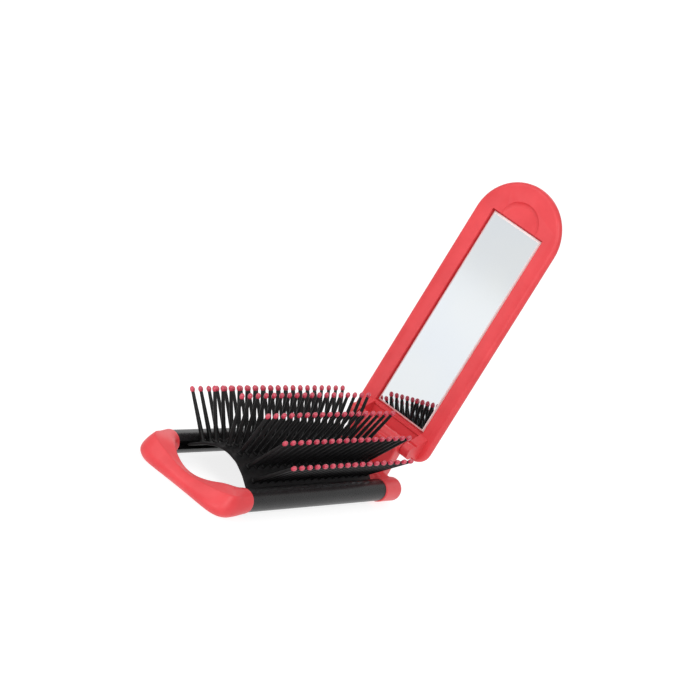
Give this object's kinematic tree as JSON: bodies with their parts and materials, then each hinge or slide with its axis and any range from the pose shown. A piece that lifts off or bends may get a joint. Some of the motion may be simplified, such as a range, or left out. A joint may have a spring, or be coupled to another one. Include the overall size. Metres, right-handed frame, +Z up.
{
  "type": "folding hairbrush",
  "caption": "Pocket hairbrush with a bristle pad that pops up between two rails, and a hinged lid that holds a mirror.",
  "frame": {"origin": "on the resting face under the hinge yoke, on the middle plane of the brush, 2 mm inside the noses of the rail caps", "axes": "+X along the rails towards the hinge, +Y across the brush, +Z up towards the bristles"},
  "size_m": [0.1428, 0.05, 0.1253],
  "materials": {
    "red_plastic": "satin moulded",
    "black_plastic": "glossy extruded",
    "steel": "ground",
    "mirror": "silvered glass with polished edges",
    "adhesive": "foam tape",
    "black_rubber": "moulded rubber",
    "red_beads": "glossy dipped"
  },
  "bodies": {
    "frame": {"end_loop": "red_plastic", "rail_front": "black_plastic", "rail_back": "black_plastic", "hinge_yoke": "red_plastic", "hinge_pin": "steel"},
    "lid": {"lid_frame": "red_plastic", "lid_back": "red_plastic", "mirror": "mirror", "mirror_tape": "adhesive"},
    "pad_crown": {"pad_crown": "black_rubber"},
    "pad_strip_1": {"pad_row_1": "black_rubber", "beads_row_1": "red_beads"},
    "pad_strip_2": {"pad_row_2": "black_rubber", "beads_row_2": "red_beads"},
    "pad_strip_3": {"pad_row_3": "black_rubber", "beads_row_3": "red_beads"},
    "pad_strip_4": {"pad_row_4": "black_rubber", "beads_row_4": "red_beads"},
    "pad_strip_5": {"pad_row_5": "black_rubber", "beads_row_5": "red_beads"},
    "pad_strip_6": {"pad_row_6": "black_rubber", "beads_row_6": "red_beads"}
  },
  "joints": [
    {"name": "lid_hinge", "type": "hinge", "parent": "frame", "child": "lid", "pos_m": [0.0045, 0, 0.01944], "axis": [0, 1, 0], "range_deg": [-94, 0]},
    {"name": "pad_pop", "type": "slide", "parent": "frame", "child": "pad_crown", "axis": [0, 0, 1], "range_m": [-0.00865, 0]},
    {"name": "fold_3", "type": "hinge", "parent": "pad_crown", "child": "pad_strip_3", "pos_m": [0, 0.001, 0.01333], "axis": [1, 0, 0], "range_deg": [0, 13.8]},
    {"name": "fold_2", "type": "hinge", "parent": "pad_strip_3", "child": "pad_strip_2", "pos_m": [0, 0.00499, 0.01255], "axis": [1, 0, 0], "range_deg": [0, 21.3]},
    {"name": "fold_1", "type": "hinge", "parent": "pad_strip_2", "child": "pad_strip_1", "pos_m": [0, 0.00947, 0.01017], "axis": [1, 0, 0], "range_deg": [0, 12.55]},
    {"name": "fold_4", "type": "hinge", "parent": "pad_crown", "child": "pad_strip_4", "pos_m": [0, -0.001, 0.01333], "axis": [1, 0, 0], "range_deg": [-13.8, 0]},
    {"name": "fold_5", "type": "hinge", "parent": "pad_strip_4", "child": "pad_strip_5", "pos_m": [0, -0.00499, 0.01255], "axis": [1, 0, 0], "range_deg": [-21.3, 0]},
    {"name": "fold_6", "type": "hinge", "parent": "pad_strip_5", "child": "pad_strip_6", "pos_m": [0, -0.00947, 0.01017], "axis": [1, 0, 0], "range_deg": [-12.55, 0]}
  ],
  "couplings": [
    {"joint": "pad_pop", "follows": "lid_hinge", "m_per_rad": 0.0052575},
    {"joint": "fold_3", "follows": "lid_hinge", "ratio": -0.14628},
    {"joint": "fold_2", "follows": "lid_hinge", "ratio": -0.22606},
    {"joint": "fold_1", "follows": "lid_hinge", "ratio": -0.13298},
    {"joint": "fold_4", "follows": "lid_hinge", "ratio": 0.14628},
    {"joint": "fold_5", "follows": "lid_hinge", "ratio": 0.22606},
    {"joint": "fold_6", "follows": "lid_hinge", "ratio": 0.13298}
  ]
}
